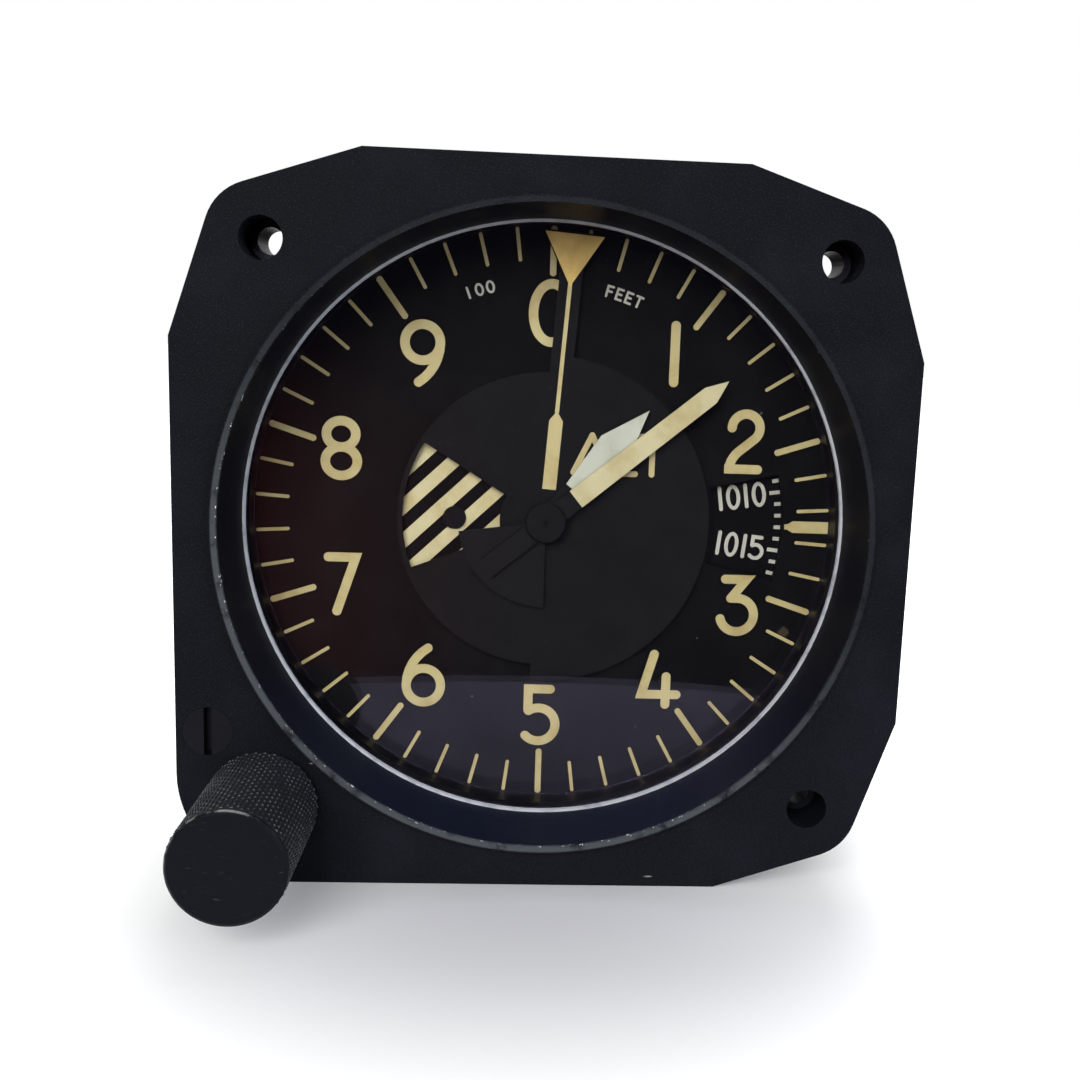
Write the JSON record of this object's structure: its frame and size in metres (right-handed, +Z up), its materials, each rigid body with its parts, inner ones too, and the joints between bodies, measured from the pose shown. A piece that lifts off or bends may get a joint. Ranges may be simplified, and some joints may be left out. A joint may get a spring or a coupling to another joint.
{
  "type": "aircraft altimeter",
  "caption": "Three-pointer sensitive altimeter with a square flange, black dial, pressure window, knurled setting knob and round sealed case.",
  "frame": {"origin": "on the dial axis, in the plane of the flange face that meets the panel", "axes": "+Y from the reader into the panel along the dial axis, +Z up the dial to 0, +X to the reader's right"},
  "size_m": [0.0826, 0.1201, 0.0826],
  "materials": {
    "housing_paint": "matt black paint with a blue cast",
    "plain_steel": "turned, dull",
    "black_steel": "blackened",
    "seal_grey": "pale grey, smooth",
    "clear_glass": "clear, polished",
    "gloss_black": "gloss black paint",
    "dial_black": "matt black paint",
    "cream_paint": "aged cream paint",
    "pale_paint": "pale greenish white paint",
    "dark_grey_paint": "matt dark grey paint",
    "yellow_brass": "fine turned",
    "grey_alloy": "as machined",
    "capsule_bronze": "beryllium bronze, dull",
    "ruby_jewel": "polished synthetic ruby",
    "blued_steel": "blued",
    "black_rubber": "matt",
    "knob_black": "black, worn on the knurl"
  },
  "bodies": {
    "housing": {"bezel_flange": "housing_paint", "mounting_inserts": "plain_steel", "knob_lock_screw": "black_steel", "glass_seal": "seal_grey", "cover_glass": "clear_glass", "dial_spacer_ring": "gloss_black", "dial_plate": "dial_black", "dial_marks": "cream_paint", "dial_screws": "black_steel", "movement_front_plate": "yellow_brass", "movement_lock_ring": "grey_alloy", "pointer_bushing": "yellow_brass", "aneroid_capsules": "capsule_bronze", "capsule_nut": "plain_steel", "capsule_frame": "grey_alloy", "frame_screws": "plain_steel", "movement_rear_plate": "yellow_brass", "movement_pillars": "yellow_brass", "pillar_screws": "plain_steel", "jewel_bearings": "ruby_jewel", "hairspring": "blued_steel", "case_gasket": "black_rubber", "case_shell": "housing_paint", "case_screws": "black_steel", "static_port_fitting": "plain_steel", "knob_bushing": "yellow_brass", "knob_seal": "black_rubber"},
    "hundreds": {"hundreds_shaft": "plain_steel", "hundreds_pointer": "cream_paint", "hub_cap": "dark_grey_paint"},
    "thousands": {"thousands_sleeve_gear": "yellow_brass", "thousands_pointer": "pale_paint"},
    "ten_thousands": {"ten_thousands_sleeve_gear": "yellow_brass", "ten_thousands_pointer": "dark_grey_paint"},
    "reduction_1": {"reduction_gear_1": "yellow_brass"},
    "reduction_2": {"reduction_gear_2": "yellow_brass"},
    "intermediate": {"intermediate_gear": "yellow_brass"},
    "rocking": {"rocking_shaft": "plain_steel", "sector_gear": "yellow_brass", "balance_weight": "yellow_brass"},
    "link": {"capsule_link": "plain_steel"},
    "knob": {"setting_knob": "knob_black", "knob_shaft": "plain_steel", "knob_set_screw": "black_steel"},
    "baro_scale": {"baro_scale_ring": "dial_black", "baro_scale_marks": "cream_paint"}
  },
  "joints": [
    {"name": "hundreds_turn", "type": "hinge", "parent": "housing", "child": "hundreds", "pos_m": [0, 0, 0], "axis": [0, 1, 0], "range_deg": [-770.4, 6789.6], "stiffness_Nm_per_rad": 0.0005},
    {"name": "thousands_turn", "type": "hinge", "parent": "housing", "child": "thousands", "pos_m": [0, 0, 0], "axis": [0, 1, 0], "range_deg": [-77.06, 678.98]},
    {"name": "ten_thousands_turn", "type": "hinge", "parent": "housing", "child": "ten_thousands", "pos_m": [0, 0, 0], "axis": [0, 1, 0], "range_deg": [-7.72, 67.92]},
    {"name": "reduction_1_turn", "type": "hinge", "parent": "housing", "child": "reduction_1", "pos_m": [0, 0, 0.0117], "axis": [0, 1, 0], "range_deg": [-2036.9, 231.14]},
    {"name": "reduction_2_turn", "type": "hinge", "parent": "housing", "child": "reduction_2", "pos_m": [0.0113, 0, 0.00303], "axis": [0, 1, 0], "range_deg": [-203.71, 23.13]},
    {"name": "intermediate_turn", "type": "hinge", "parent": "housing", "child": "intermediate", "pos_m": [-0.01218, 0, -0.01076], "axis": [0, 1, 0], "range_deg": [-565.82, 64.22]},
    {"name": "rocking_shaft_turn", "type": "hinge", "parent": "housing", "child": "rocking", "pos_m": [0.009, 0, -0.009], "axis": [0, 1, 0], "range_deg": [-4.03, 35.38]},
    {"name": "link_turn", "type": "hinge", "parent": "rocking", "child": "link", "pos_m": [0.00657, 0, -0.00033], "axis": [0, 1, 0], "range_deg": [-35.38, 4.03]},
    {"name": "knob_turn", "type": "hinge", "parent": "housing", "child": "knob", "pos_m": [-0.03143, 0, -0.03143], "axis": [0, 1, 0], "range_deg": [-1135.91, 627.29]},
    {"name": "baro_scale_turn", "type": "hinge", "parent": "housing", "child": "baro_scale", "pos_m": [0, 0, 0], "axis": [0, 1, 0], "range_deg": [-107.32, 194.32]}
  ],
  "couplings": [
    {"joint": "thousands_turn", "follows": "hundreds_turn", "ratio": 0.1},
    {"joint": "ten_thousands_turn", "follows": "hundreds_turn", "ratio": 0.01},
    {"joint": "reduction_1_turn", "follows": "hundreds_turn", "ratio": -0.3},
    {"joint": "reduction_2_turn", "follows": "hundreds_turn", "ratio": -0.03},
    {"joint": "intermediate_turn", "follows": "hundreds_turn", "ratio": -0.083333},
    {"joint": "rocking_shaft_turn", "follows": "hundreds_turn", "ratio": 0.0052083},
    {"joint": "link_turn", "follows": "hundreds_turn", "ratio": -0.0052083},
    {"joint": "baro_scale_turn", "follows": "knob_turn", "ratio": -0.17105}
  ]
}
